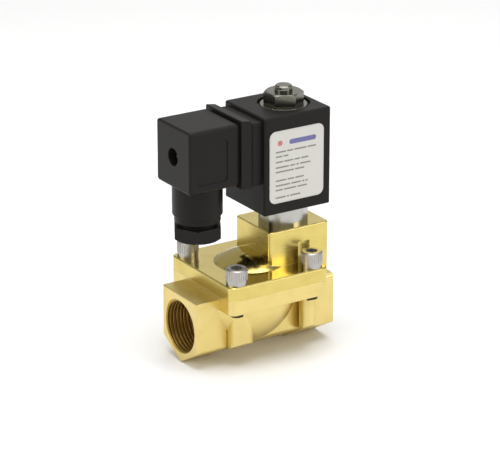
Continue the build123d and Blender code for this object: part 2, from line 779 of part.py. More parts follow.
# ---- plug ----------------------------------------------------------------------------------------------
with BuildPart() as plug_gasket:
    gasket_bottom_z = terminal_bottom_z + gasket_inset
    gasket_top_z = terminal_top_z - gasket_inset
    with BuildSketch(across_flow(gasket_x)):
        with Locations((0, (gasket_bottom_z + gasket_top_z) / 2)):
            RectangleRounded(terminal_width - 2 * gasket_inset, gasket_top_z - gasket_bottom_z, 1.2)
        with Locations((0, plug_z)):
            Circle(plug_screw_r + 4 * thread_fit, mode=Mode.SUBTRACT)
        for y, z, flat in pin_places:
            width, height = (pin_width, pin_thickness) if flat else (pin_thickness, pin_width)
            with Locations((y, plug_z + z)):
                Rectangle(width + 2 * clip_gap, height + 2 * clip_gap, mode=Mode.SUBTRACT)
    extrude(amount=gasket_length)
plug_gasket.part.label = "plug_gasket"

plug_room_width = plug_width - 2 * plug_wall
plug_room_height = plug_height - 2 * plug_wall
with BuildPart() as plug_housing:
    with BuildSketch(across_flow(plug_x)):
        with Locations((0, plug_z)):
            RectangleRounded(plug_width, plug_height, plug_edge_r)
    extrude(amount=plug_length)
    fillet(plug_housing.faces().sort_by(Axis.X)[0].edges(), 1.0)
    with BuildSketch(across_flow(neck_x)):
        with Locations((0, plug_z)):
            neck_width = plug_width - 2 * neck_inset
            RectangleRounded(neck_width, plug_height - 2 * neck_inset, plug_edge_r)
    extrude(amount=neck_length)
    with BuildSketch(Plane.XZ.offset(-rim_width / 2)):
        Polygon(
            (rim_x, rim_bottom_z),
            (gasket_x, rim_bottom_z),
            (gasket_x, rim_top_z - rim_slope),
            (rim_x, rim_top_z),
            align=None,
        )
    extrude(amount=rim_width)
    rim_edges = plug_housing.edges().filter_by(Axis.Y).filter_by(lambda e: e.center().X > neck_x + neck_length / 2)
    fillet(rim_edges, 0.5)
    # cable gland sleeve
    with BuildSketch(Plane.XZ):
        ring_profile(gland_x, 0, gland_r, gland_z, plug_floor_z + plug_wall)
        ring_profile(gland_x, 0, gland_step_r, gland_step_z, gland_z)
        ring_profile(gland_x, 0, gland_thread_r, gland_thread_z, gland_step_z)
    revolve(axis=gland_axis)
    # room inside, open towards the coil
    with BuildSketch(across_flow(plug_x + plug_wall)):
        with Locations((0, plug_z)):
            Rectangle(plug_room_width, plug_room_height)
    extrude(amount=gasket_x - plug_x - plug_wall, mode=Mode.SUBTRACT)
    # post around the screw
    with BuildSketch(across_flow(plug_x + plug_wall)):
        with Locations((0, plug_z)):
            Circle(plug_post_r)
    extrude(amount=plug_hole_depth)
    with BuildSketch(across_flow(plug_x)):
        with Locations((0, plug_z)):
            Circle(plug_hole_r)
    extrude(amount=plug_hole_depth, mode=Mode.SUBTRACT)
    with BuildSketch(across_flow(plug_x)):
        with Locations((0, plug_z)):
            Circle(plug_screw_r + running_fit)
    extrude(amount=plug_hole_depth + plug_wall, mode=Mode.SUBTRACT)
    # bore of the gland
    with BuildSketch(at_height(gland_thread_z, gland_x)):
        Circle(gland_bore_r)
    extrude(amount=plug_floor_z + plug_wall - gland_thread_z, mode=Mode.SUBTRACT)
    # shallow panels in both sides
    for side in (-1, 1):
        panel_plane = Plane(origin=(0, side * plug_width / 2, 0), x_dir=(1, 0, 0), z_dir=(0, -side, 0))
        with BuildSketch(panel_plane):
            with Locations((gland_x - 0.6, side * (plug_z - side_panel_drop))):
                RectangleRounded(side_panel_length, side_panel_height, 2.0)
        extrude(amount=side_panel_depth, mode=Mode.SUBTRACT)
plug_housing.part.label = "plug_housing"

insert_x = gasket_x - insert_length
clip_x = gasket_x - pin_reach + gasket_length
clip_room = clip_gap + clip_wall
with BuildPart() as terminal_insert:
    with BuildSketch(across_flow(insert_x)):
        with Locations((0, plug_z)):
            Rectangle(plug_room_width - 2 * slip, plug_room_height - 2 * slip)
            Circle(plug_screw_r + 4 * thread_fit, mode=Mode.SUBTRACT)
    extrude(amount=insert_length)
    with BuildSketch(across_flow(gasket_x - clip_length - 1)):
        for y, z, flat in pin_places:
            width, height = (pin_width, pin_thickness) if flat else (pin_thickness, pin_width)
            with Locations((y, plug_z + z)):
                Rectangle(width + 2 * clip_room, height + 2 * clip_room)
    extrude(amount=clip_length + 1, mode=Mode.SUBTRACT)
    with BuildSketch(across_flow(insert_x)):
        for y, z, flat in pin_places:
            with Locations((y, plug_z + z)):
                Circle(1.3)
    extrude(amount=insert_length - clip_length - 2, mode=Mode.SUBTRACT)
terminal_insert.part.label = "terminal_insert"

with BuildPart() as contact_clips:
    with BuildSketch(across_flow(gasket_x - clip_length - 1)):
        for y, z, flat in pin_places:
            width, height = (pin_width, pin_thickness) if flat else (pin_thickness, pin_width)
            with Locations((y, plug_z + z)):
                Rectangle(width + 2 * clip_room, height + 2 * clip_room)
                Rectangle(width + 2 * clip_gap, height + 2 * clip_gap, mode=Mode.SUBTRACT)
    extrude(amount=clip_length)
contact_clips.part.label = "contact_clips"

with BuildPart() as contact_screws:
    with BuildSketch(across_flow(insert_x - 1.6)):
        for y, z, flat in pin_places:
            with Locations((y, plug_z + z)):
                Circle(2.4)
    extrude(amount=1.6)
    with BuildSketch(across_flow(insert_x)):
        for y, z, flat in pin_places:
            with Locations((y, plug_z + z)):
                Circle(1.3 - thread_fit)
    extrude(amount=insert_length - clip_length - 2.4)
    with BuildSketch(across_flow(insert_x - 1.6)):
        for y, z, flat in pin_places:
            with Locations((y, plug_z + z)):
                Rectangle(5, 0.6)
    extrude(amount=0.8, mode=Mode.SUBTRACT)
contact_screws.part.label = "contact_screws"

plug_seat_x = plug_x + plug_hole_depth
screw_washer = 0.8
with BuildPart() as plug_screw:
    with BuildSketch(across_flow(plug_seat_x - screw_washer - plug_screw_head)):
        with Locations((0, plug_z)):
            Circle(plug_screw_head_r)
    extrude(amount=plug_screw_head)
    chamfer(plug_screw.faces().sort_by(Axis.X)[0].edges(), 0.3)
    with BuildSketch(across_flow(plug_seat_x - screw_washer)):
        with Locations((0, plug_z)):
            Circle(plug_screw_r)
    extrude(amount=terminal_x + plug_screw_bite - plug_seat_x + screw_washer)
    with BuildSketch(across_flow(plug_seat_x - screw_washer - plug_screw_head)):
        with Locations((0, plug_z)):
            Rectangle(2 * plug_screw_head_r, 0.8)
    extrude(amount=1.2, mode=Mode.SUBTRACT)
plug_screw.part.label = "plug_screw"

with BuildPart() as plug_screw_seal:
    with BuildSketch(across_flow(plug_seat_x - screw_washer)):
        with Locations((0, plug_z)):
            Circle(plug_screw_head_r + 0.4)
            Circle(plug_screw_r + running_fit, mode=Mode.SUBTRACT)
    extrude(amount=screw_washer)
plug_screw_seal.part.label = "plug_screw_seal"

# ---- cable gland ------------------------------------------------------------------------------------
gland_washer_z = gland_thread_z - gland_washer_thickness
with BuildPart() as gland_seal:
    with BuildSketch(at_height(gland_thread_z, gland_x)):
        Circle(gland_bore_r - slip / 2)
        Circle(gland_seal_bore_r, mode=Mode.SUBTRACT)
    extrude(amount=gland_seal_length)
gland_seal.part.label = "gland_seal"

with BuildPart() as gland_washer:
    with BuildSketch(at_height(gland_washer_z, gland_x)):
        Circle(gland_thread_r - slip)
        Circle(gland_washer_bore_r, mode=Mode.SUBTRACT)
    extrude(amount=gland_washer_thickness)
gland_washer.part.label = "gland_washer"

with BuildPart() as gland_nut:
    with BuildSketch(at_height(gland_nut_z, gland_x)):
        RegularPolygon(hex_radius(gland_nut_across), 6, rotation=gland_nut_turn)
    extrude(amount=gland_nut_top_z - gland_nut_z)
    gland_corner_r = hex_radius(gland_nut_across)
    with BuildSketch(Plane.XZ):
        Polygon(
            (gland_x, gland_nut_z),
            (gland_x + gland_corner_r - 1.6, gland_nut_z),
            (gland_x + gland_corner_r, gland_nut_z + 1.2),
            (gland_x + gland_corner_r, gland_nut_top_z - 0.3),
            (gland_x + gland_corner_r - 0.6, gland_nut_top_z),
            (gland_x, gland_nut_top_z),
            align=None,
        )
    revolve(axis=gland_axis, mode=Mode.INTERSECT)
    with BuildSketch(Plane.XZ):
        ring_profile(gland_x, 0, gland_mouth_r, gland_nut_z, gland_nut_top_z)
        nut_room_r = gland_thread_r + running_fit
        ring_profile(gland_x, 0, nut_room_r, gland_nut_z + gland_nut_floor, gland_nut_top_z)
    revolve(axis=gland_axis, mode=Mode.SUBTRACT)
gland_nut.part.label = "gland_nut"

pieces = [
    body,
    bonnet,
    bonnet_screws,
    spring_washers,
    diaphragm,
    valve_disc,
    seat_seal,
    diaphragm_plate,
    stem_nut,
    main_spring,
    pilot_nozzle,
    armature_tube,
    tube_o_ring,
    fixed_core,
    shading_ring,
    plunger,
    plunger_seal,
    plunger_spring,
    coil_housing,
    yoke,
    bobbin,
    winding,
    terminal_pins,
    rating_label,
    nut_washer,
    coil_nut,
    plug_gasket,
    plug_housing,
    terminal_insert,
    contact_clips,
    contact_screws,
    plug_screw,
    plug_screw_seal,
    gland_seal,
    gland_washer,
    gland_nut,
]

os.makedirs("parts", exist_ok=True)
for piece in pieces:
    export_step(piece.part, f"parts/{piece.part.label}.step")
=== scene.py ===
import math

import bpy
from bpy.props import FloatProperty, FloatVectorProperty, IntProperty, PointerProperty
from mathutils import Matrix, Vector


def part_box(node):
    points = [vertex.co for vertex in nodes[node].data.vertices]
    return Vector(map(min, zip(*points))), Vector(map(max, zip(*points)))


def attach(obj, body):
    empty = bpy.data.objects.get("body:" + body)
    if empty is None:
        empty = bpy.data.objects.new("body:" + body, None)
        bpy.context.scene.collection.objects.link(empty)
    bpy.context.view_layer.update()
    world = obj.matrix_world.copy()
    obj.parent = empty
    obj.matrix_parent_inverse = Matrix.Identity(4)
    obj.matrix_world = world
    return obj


bl_info = {
    "name": "Solenoid Valve Looks",
    "version": (1, 0, 0),
    "blender": (4, 5, 0),
    "location": "View3D > Sidebar > Valve",
    "description": "Finishes, thread turns, knurls, label print and stage for a solenoid valve",
    "category": "Object",
}

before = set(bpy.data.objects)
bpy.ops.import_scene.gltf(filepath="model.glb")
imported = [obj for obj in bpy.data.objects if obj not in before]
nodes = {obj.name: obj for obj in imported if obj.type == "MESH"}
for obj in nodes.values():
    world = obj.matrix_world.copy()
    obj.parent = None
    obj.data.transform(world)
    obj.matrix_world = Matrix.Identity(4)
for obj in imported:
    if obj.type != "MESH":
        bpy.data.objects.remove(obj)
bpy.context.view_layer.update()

MM = 0.001


def middle(node):
    low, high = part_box(node)
    return (low + high) / 2


LABEL_LOW, LABEL_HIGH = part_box("rating_label")
SCREWS_LOW, SCREWS_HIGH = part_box("bonnet_screws")
BODY_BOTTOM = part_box("body")[0].z
TUBE_X = middle("coil_nut").x
GLAND_X = middle("gland_nut").x
TUBE_OFFSET = 18.4 * MM  # along the flow, from the valve's middle to the tube
VALVE_X = TUBE_X - TUBE_OFFSET

# where a finish changes on a part, including where painted shade starts in the port bores and on
# the screws' ends
PORT_FACE_FROM = 31 * MM  # from the valve's middle, along the flow
PORT_BORE_FROM = 15 * MM
PORT_BORE_RADIUS = 13.3 * MM
PORT_BORE_FADE = 13.6 * MM
SCREW_SHADE_TO = 30 * MM  # above the floor, on the ends of the screws: painted shade below this height
SCREW_SHADE_FADE = 32 * MM


# ---------------------------------------------------------------- sizes and colours


def length(name, description, default):
    return FloatProperty(
        name=name, description=description, default=default, unit="LENGTH", precision=5
    )


def paint(name, description, default):
    limits = {"size": 3, "min": 0.0, "max": 1.0, "subtype": "COLOR"}
    return FloatVectorProperty(name=name, description=description, default=default, **limits)


class ValveSizes(bpy.types.PropertyGroup):
    knurl_height: length("Knurl Height", "How far the knurl stands out of a head", 0.17 * MM)
    knurl_band: length("Knurl Band", "Height of the knurled band round a head", 4.4 * MM)
    knurl_teeth: IntProperty(
        name="Knurl Teeth", description="Ridges round one screw head", default=30, min=12
    )
    stud_pitch: length("Stud Pitch", "Distance between the stud thread's turns", 1.25 * MM)
    stud_ridge: length("Stud Ridge", "Height of the stud's thread over its core", 0.22 * MM)
    gland_pitch: length("Gland Pitch", "Distance between the gland thread's turns", 1.5 * MM)
    gland_ridge: length("Gland Ridge", "Height of the gland's thread over its neck", 0.55 * MM)
    print_height: length("Print Height", "Thickness of the ink on the label", 0.02 * MM)
    print_line: length("Print Line", "Height of one printed line on the label", 0.74 * MM)
    brass_grain: length("Brass Grain", "Size of the cast skin's grain", 0.55 * MM)
    edge_round: length("Edge Round", "Radius at which a worn edge catches the light", 0.35 * MM)


class ValveColours(bpy.types.PropertyGroup):
    brass: paint("Brass", "Clean brass", (0.68, 0.55, 0.175))
    cast: paint("Cast Brass", "The body's paler cast skin", (0.76, 0.61, 0.235))
    # Brass Shade serves two purposes: random dull patches, and painted shade inside the port
    # bores of the cast body
    brass_dark: paint("Brass Shade", "Brass that has dulled in corners", (0.42, 0.25, 0.03))
    zinc: paint("Zinc", "Zinc plating on the screws", (0.46, 0.44, 0.42))
    steel: paint("Steel", "Bare stainless steel", (0.52, 0.51, 0.485))
    dark_steel: paint("Dark Steel", "The coil nut's dull plating", (0.20, 0.193, 0.160))
    black: paint("Black Plastic", "Moulded black plastic", (0.0085, 0.0072, 0.0065))
    grey: paint("Grey Plastic", "Moulded grey plastic", (0.10, 0.10, 0.10))
    rubber: paint("Rubber", "Black rubber seals", (0.012, 0.012, 0.012))
    film: paint("Label Film", "The label's printed film", (0.66, 0.645, 0.60))
    ink: paint("Label Ink", "The label's small print", (0.23, 0.215, 0.20))
    ink_heading: paint("Heading Ink", "The label's heading bar", (0.13, 0.125, 0.30))
    ink_mark: paint("Mark Ink", "The label's small round mark", (0.55, 0.16, 0.16))
    copper: paint("Copper", "Enamelled copper wire", (0.62, 0.24, 0.09))
    contact: paint("Contact", "Tinned contact metal", (0.62, 0.60, 0.56))
    floor: paint("Floor", "The studio floor", (0.92, 0.92, 0.915))


# ---------------------------------------------------------------- shader maths


class Num:
    """A number on its way through a material: expressions on it add Math nodes."""

    def __init__(self, finish, socket):
        self.finish = finish
        self.socket = socket

    def maths(self, operation, *values):
        made = self.finish.node("Math", {"operation": operation}, dict(enumerate(values)))
        return Num(self.finish, made.outputs[0])

    def __add__(self, other):
        return self.maths("ADD", self, other)

    def __radd__(self, other):
        return self.maths("ADD", other, self)

    def __sub__(self, other):
        return self.maths("SUBTRACT", self, other)

    def __rsub__(self, other):
        return self.maths("SUBTRACT", other, self)

    def __mul__(self, other):
        return self.maths("MULTIPLY", self, other)

    def __rmul__(self, other):
        return self.maths("MULTIPLY", other, self)

    def __truediv__(self, other):
        return self.maths("DIVIDE", self, other)

    def __rtruediv__(self, other):
        return self.maths("DIVIDE", other, self)

    def __gt__(self, other):
        return self.maths("GREATER_THAN", self, other)

    def __lt__(self, other):
        return self.maths("LESS_THAN", self, other)

    def __abs__(self):
        return self.maths("ABSOLUTE", self)

    def __pow__(self, other):
        return self.maths("POWER", self, other)

    def sine(self):
        return self.maths("SINE", self)

    def root(self):
        return self.maths("SQRT", self)

    def low(self, other):
        return self.maths("MINIMUM", self, other)

    def high(self, other):
        return self.maths("MAXIMUM", self, other)

    def ramp(self, start, end):
        """0 up to start, 1 from end, smooth between them."""
        settings = {"interpolation_type": "SMOOTHSTEP", "clamp": True}
        values = {0: self, 1: start, 2: end, 3: 0.0, 4: 1.0}
        return Num(self.finish, self.finish.node("MapRange", settings, values).outputs[0])


class Finish:
    """A material, its Principled shader and the nodes that feed it."""

    OCTAVE_FADE = 0.55  # how much of each finer layer of noise is kept
    EDGE_SAMPLES = 4

    def __init__(self, name, **uniform):
        self.material = bpy.data.materials.new(name)
        self.material.use_nodes = True
        self.tree = self.material.node_tree
        self.tree.nodes.clear()
        self.shader = self.tree.nodes.new("ShaderNodeBsdfPrincipled")
        output = self.tree.nodes.new("ShaderNodeOutputMaterial")
        self.tree.links.new(self.shader.outputs[0], output.inputs[0])
        for socket, value in uniform.items():
            self.shader.inputs[socket.replace("_", " ")].default_value = value
        coordinates = self.node("TexCoord")
        self.place = coordinates.outputs["Object"]
        parts = self.node("SeparateXYZ", {}, {0: self.place})
        self.x, self.y, self.z = [Num(self, socket) for socket in parts.outputs]
        self.relief = None
        self.rounded = None

    def node(self, kind, settings=None, values=None):
        made = self.tree.nodes.new("ShaderNode" + kind)
        for name, value in (settings or {}).items():
            setattr(made, name, value)
        for socket, value in (values or {}).items():
            self.feed(made.inputs[socket], value)
        return made

    def feed(self, socket, value):
        if isinstance(value, Num):
            value = value.socket
        if isinstance(value, bpy.types.NodeSocket):
            self.tree.links.new(value, socket)
        elif hasattr(value, "__len__") and len(value) == 3 and socket.type == "RGBA":
            socket.default_value = (*value, 1.0)
        else:
            socket.default_value = value

    def noise(self, size, detail, stretch=(1, 1, 1)):
        """Noise of about 0 to 1 with features size metres across, drawn out by stretch."""
        scale = tuple(1 / (size * factor) for factor in stretch)
        place = self.node("Mapping", {}, {"Vector": self.place, "Scale": scale}).outputs[0]
        values = {"Vector": place, "Scale": 1.0, "Detail": detail, "Roughness": self.OCTAVE_FADE}
        return Num(self, self.node("TexNoise", {}, values).outputs[0])

    def cells(self, size):
        """How far a point is from the middle of its cell, the cells size metres across."""
        values = {"Vector": self.place, "Scale": 1 / size}
        return Num(self, self.node("TexVoronoi", {"feature": "F1"}, values).outputs["Distance"])

    def blend(self, mask, colour_a, colour_b):
        """colour_a where mask is 0 and colour_b where it is 1."""
        values = {0: mask, 6: colour_a, 7: colour_b}
        return self.node("Mix", {"data_type": "RGBA"}, values).outputs[2]

    def facing(self):
        """The three parts of the surface's own direction."""
        parts = self.node("SeparateXYZ", {}, {0: self.node("TexCoord").outputs["Normal"]})
        return [Num(self, socket) for socket in parts.outputs]

    def edges(self, radius, strength=6.0):
        """1 along edges, from how far a rounded edge would turn the surface."""
        settings = {"samples": self.EDGE_SAMPLES}
        self.rounded = self.node("Bevel", settings, {"Radius": radius}).outputs[0]
        true = self.node("NewGeometry").outputs["Normal"]
        dot = self.node("VectorMath", {"operation": "DOT_PRODUCT"}, {0: self.rounded, 1: true})
        return ((1 - Num(self, dot.outputs["Value"])) * strength).low(1.0)

    def bump(self, height, distance, strength=1.0):
        """Adds relief: height 1 stands distance metres out of the surface."""
        values = {"Height": height, "Distance": distance, "Strength": strength}
        if self.relief is not None:
            values["Normal"] = self.relief
        elif self.rounded is not None:
            values["Normal"] = self.rounded
        self.relief = self.node("Bump", {}, values).outputs[0]

    def done(self, colour, roughness):
        self.feed(self.shader.inputs["Base Color"], colour)
        self.feed(self.shader.inputs["Roughness"], roughness)
        if self.relief is not None:
            self.feed(self.shader.inputs["Normal"], self.relief)
        return self.material


# ---------------------------------------------------------------- finishes


def cast_brass(name, colours, sizes, gloss=0.26):
    """Cast and shot-blasted brass: turned rings on the port faces, painted shade inside the
    ports.
    """
    finish = Finish(name, Metallic=1.0)
    edge = finish.edges(sizes.edge_round)
    patches = finish.noise(9 * MM, 3)
    grain = finish.noise(sizes.brass_grain, 4)
    pits = finish.cells(1.1 * MM)
    side_x = finish.facing()[0]
    port_face = (abs(side_x) > 0.98) * (abs(finish.x - VALVE_X) > PORT_FACE_FROM)
    radius = (finish.y * finish.y + finish.z * finish.z).root()
    rings = (radius * (2 * math.pi / (0.32 * MM))).sine() * port_face
    # bore and inside mark painted shade deep in the port bores; dull mixes random dull patches
    # with this painted shade
    bore = 1 - radius.ramp(PORT_BORE_RADIUS, PORT_BORE_FADE)
    inside = bore * (1 - port_face) * (abs(finish.x - VALVE_X) > PORT_BORE_FROM)
    dull = ((patches - 0.45) * 1.6).high(0.0).low(1.0) * 0.30 + inside * 0.85
    colour = finish.blend(dull.low(1.0), tuple(colours.cast), tuple(colours.brass_dark))
    colour = finish.blend(edge * 0.35, colour, (0.90, 0.79, 0.48))
    finish.bump(grain * 0.7 + pits * 0.3, 0.030 * MM, 0.55)
    finish.bump(rings, 0.012 * MM, 0.5)
    rough = gloss + 0.13 * patches + 0.10 * grain - 0.06 * port_face - 0.08 * edge
    return finish.done(colour, rough + 0.1 * inside)


def polished_brass(name, colours, sizes, gloss=0.07):
    """Milled and polished brass: a bright top, fine straight tool marks on the sides."""
    finish = Finish(name, Metallic=1.0)
    edge = finish.edges(sizes.edge_round)
    patches = finish.noise(7 * MM, 3)
    along = finish.noise(0.30 * MM, 2, (60, 60, 1))
    scratches = finish.noise(0.12 * MM, 2, (40, 3, 1))
    side_z = finish.facing()[2]
    up = side_z.ramp(0.75, 0.97)
    dull = (patches - 0.4).high(0.0) * 0.6
    colour = finish.blend(dull, tuple(colours.brass), tuple(colours.brass_dark))
    colour = finish.blend(edge * 0.45, colour, (0.92, 0.80, 0.46))
    finish.bump(patches, 0.05 * MM, 0.35)
    finish.bump(along * (1 - up), 0.014 * MM, 0.5)
    finish.bump(scratches * up, 0.003 * MM, 0.4)
    rough = gloss + 0.05 * patches + (1 - up) * (0.10 + 0.09 * along) + 0.04 * scratches
    return finish.done(colour, rough)


def turned_brass(name, colours):
    """Brass turned on a lathe, inside the valve."""
    finish = Finish(name, Metallic=1.0)
    radius = ((finish.x - TUBE_X) ** 2 + finish.y * finish.y).root()
    rings = (radius * (2 * math.pi / (0.25 * MM))).sine()
    wear = finish.noise(3 * MM, 3)
    finish.bump(rings, 0.008 * MM, 0.6)
    colour = finish.blend(wear * 0.5, tuple(colours.brass), tuple(colours.brass_dark))
    return finish.done(colour, 0.16 + 0.16 * wear)


def zinc_plate(name, colours):
    """Zinc plating: mottled, with lines down a head's side and painted shade on the low ends."""
    finish = Finish(name, Metallic=1.0)
    spangle = finish.cells(1.3 * MM)
    mottle = finish.noise(1.6 * MM, 4)
    lines = finish.noise(0.22 * MM, 2, (1, 1, 14))
    side_z = finish.facing()[2]
    wall = 1 - abs(side_z).ramp(0.5, 0.9)
    finish.bump(lines * wall, 0.05 * MM, 0.7)
    finish.bump(mottle, 0.02 * MM, 0.5)
    colour = finish.blend(mottle * 0.55, tuple(colours.zinc), (0.36, 0.34, 0.31))
    colour = finish.blend((spangle * 0.35).low(1.0), colour, (0.60, 0.59, 0.56))
    # painted shade: the screws' ends below the flange sit in shadow in their holes and are
    # coloured near black
    painted_end_shade = 1 - finish.z.ramp(BODY_BOTTOM + SCREW_SHADE_TO, BODY_BOTTOM + SCREW_SHADE_FADE)
    colour = finish.blend(painted_end_shade, colour, (0.035, 0.030, 0.020))
    return finish.done(colour, 0.26 + 0.20 * mottle)


def brushed_steel(name, colours, tint="steel", rough=0.2):
    """Stainless steel with lines brushed round the upright axis."""
    finish = Finish(name, Metallic=1.0)
    rings = finish.noise(0.16 * MM, 2, (50, 50, 1))
    cloud = finish.noise(4 * MM, 3)
    finish.bump(rings, 0.008 * MM, 0.6)
    base = tuple(getattr(colours, tint))
    colour = finish.blend(cloud * 0.5, base, tuple(channel * 0.72 for channel in base))
    return finish.done(colour, rough + 0.10 * rings + 0.08 * cloud)


def dull_plating(name, colours, sizes, gloss=0.20):
    """Dark plating on the nut, its washer and the stud, worn bright along its edges."""
    finish = Finish(name, Metallic=1.0)
    edge = finish.edges(sizes.edge_round, 5.0)
    mottle = finish.noise(1.2 * MM, 4)
    rings = finish.noise(0.2 * MM, 2, (30, 30, 1))
    finish.bump(mottle, 0.012 * MM, 0.4)
    finish.bump(rings, 0.006 * MM, 0.4)
    colour = finish.blend(mottle * 0.5, tuple(colours.dark_steel), (0.11, 0.105, 0.085))
    colour = finish.blend(edge * 0.8, colour, (0.55, 0.53, 0.47))
    return finish.done(colour, gloss + 0.10 * mottle)


def moulded_plastic(name, colours, sizes, tint="black", rough=0.40, grain_size=0.35 * MM):
    """Moulded plastic: fine grain, faint flow marks, polished edges and light rubbing."""
    finish = Finish(name, Metallic=0.0, Specular_IOR_Level=0.16)
    edge = finish.edges(sizes.edge_round)
    grain = finish.cells(grain_size)
    fine = finish.noise(grain_size * 0.6, 3)
    flow = finish.noise(14 * MM, 2, (1, 1, 2.5))
    scuffs = finish.noise(2.4 * MM, 5, (3, 1, 1)).ramp(0.60, 0.78)
    base = tuple(getattr(colours, tint))
    lighter = tuple(min(1.0, channel * 2.1 + 0.004) for channel in base)
    colour = finish.blend((flow * 0.35 + edge * 0.30 + scuffs * 0.15).low(1.0), base, lighter)
    finish.bump(grain * 0.6 + fine * 0.4, 0.020 * MM, 0.6)
    finish.bump(flow, 0.10 * MM, 0.12)
    rough = rough + 0.10 * fine + 0.08 * flow - 0.12 * edge + 0.08 * scuffs
    return finish.done(colour, rough)


def soft_rubber(name, colours):
    """Moulded rubber, dusty in patches."""
    finish = Finish(name, Metallic=0.0, IOR=1.5)
    dust = finish.noise(2.5 * MM, 5)
    pores = finish.cells(0.4 * MM)
    finish.bump(pores, 0.02 * MM, 0.6)
    colour = finish.blend(dust.ramp(0.45, 0.8) * 0.5, tuple(colours.rubber), (0.05, 0.05, 0.048))
    return finish.done(colour, 0.62 + 0.2 * dust)


def copper_turns(name, colours):
    """Enamelled wire wound in even turns."""
    finish = Finish(name, Metallic=1.0, Coat_Weight=0.5, Coat_Roughness=0.1)
    turns = abs((finish.z * (math.pi / (0.45 * MM))).sine())
    tone = finish.noise(2 * MM, 3, (3, 3, 1))
    finish.bump(turns.root(), 0.12 * MM, 0.9)
    colour = finish.blend(tone * 0.6, tuple(colours.copper), (0.36, 0.11, 0.035))
    return finish.done(colour, 0.20 + 0.18 * tone)


def label_film(name, colours):
    """Satin printed film with faint paper fibre and a thin yellowed border."""
    finish = Finish(name, Metallic=0.0, Coat_Weight=0.35, Coat_Roughness=0.28)
    fibre = finish.noise(0.5 * MM, 4)
    cloud = finish.noise(8 * MM, 3)
    centre = (LABEL_LOW + LABEL_HIGH) / 2
    half = (LABEL_HIGH - LABEL_LOW) / 2
    across, up = abs(finish.x - centre.x) / half.x, abs(finish.z - centre.z) / half.z
    border = across.high(up).ramp(0.93, 1.0)
    finish.bump(fibre, 0.006 * MM, 0.5)
    colour = finish.blend(cloud * 0.25 + fibre * 0.15, tuple(colours.film), (0.56, 0.55, 0.50))
    colour = finish.blend(border * 0.35, colour, (0.47, 0.45, 0.39))
    return finish.done(colour, 0.42 + 0.12 * cloud)


def printed_ink(name, tint, rough=0.45):
    """Ink with the slight unevenness of thermal print."""
    finish = Finish(name, Metallic=0.0)
    uneven = finish.noise(0.35 * MM, 4)
    lighter = tuple(min(1.0, channel * 1.5 + 0.05) for channel in tint)
    finish.bump(uneven, 0.004 * MM, 0.5)
    colour = finish.blend(uneven.ramp(0.35, 0.8) * 0.6, tuple(tint), lighter)
    return finish.done(colour, rough + 0.1 * uneven)


def studio_floor(name, tint):
    """Matt paper sweep with a trace of fibre."""
    finish = Finish(name, Metallic=0.0)
    fibre = finish.noise(1.5 * MM, 3)
    darker = tuple(channel * 0.985 for channel in tint)
    return finish.done(finish.blend(fibre, tuple(tint), darker), 0.75 + 0.1 * fibre)


def dress(finish, *names):
    """Gives CAD nodes a material through their objects' slots."""
    for name in names:
        for slot in nodes[name].material_slots:
            slot.material = finish


# ---------------------------------------------------------------- modelling by hand


def drop_selection():
    if bpy.context.object is not None and bpy.context.object.mode != "OBJECT":
        bpy.ops.object.mode_set(mode="OBJECT")
    bpy.ops.object.select_all(action="DESELECT")


def only(piece):
    drop_selection()
    piece.select_set(True)
    bpy.context.view_layer.objects.active = piece


def pick(piece, test, kind="FACE"):
    """Goes to edit mode with only those faces, edges or corners selected that pass the test."""
    only(piece)
    bpy.ops.object.mode_set(mode="EDIT")
    bpy.ops.mesh.select_mode(type=kind)
    bpy.ops.mesh.select_all(action="DESELECT")
    bpy.ops.object.mode_set(mode="OBJECT")
    mesh = piece.data
    if kind == "FACE":
        for face in mesh.polygons:
            face.select = test(face.center, face.normal)
    elif kind == "VERT":
        for corner in mesh.vertices:
            corner.select = test(corner.co)
    else:
        for edge in mesh.edges:
            edge.select = test(*[mesh.vertices[i].co for i in edge.vertices])
    bpy.ops.object.mode_set(mode="EDIT")


def apply_all(piece):
    only(piece)
    for modifier in list(piece.modifiers):
        bpy.ops.object.modifier_apply(modifier=modifier.name)


def settle(piece, angle=35.0):
    """Puts the place into the mesh, merges doubles, turns faces out, smooths gentle angles."""
    only(piece)
    bpy.ops.object.transform_apply(location=True, rotation=True, scale=True)
    bpy.ops.object.mode_set(mode="EDIT")
    bpy.ops.mesh.select_all(action="SELECT")
    bpy.ops.mesh.remove_doubles(threshold=1e-6)
    bpy.ops.mesh.normals_make_consistent(inside=False)
    bpy.ops.object.mode_set(mode="OBJECT")
    bpy.ops.object.shade_smooth_by_angle(angle=math.radians(angle))
    return piece


def finished(piece, body, material):
    piece.data.materials.clear()
    piece.data.materials.append(material)
    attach(piece, body)
    return piece


def copied(piece, name, shift):
    """A copy with its own mesh, moved by shift."""
    twin = piece.copy()
    twin.data = piece.data.copy()
    twin.name = name
    twin.data.name = name
    bpy.context.scene.collection.objects.link(twin)
    only(twin)
    twin.location = Vector(shift)
    bpy.ops.object.transform_apply(location=True, rotation=False, scale=False)
    return twin


STEPS_PER_TURN = 48
FEWEST_STEPS = 24
ROOT_SHIFT = 0.7  # share of the ridge by which its root is drawn towards the crest


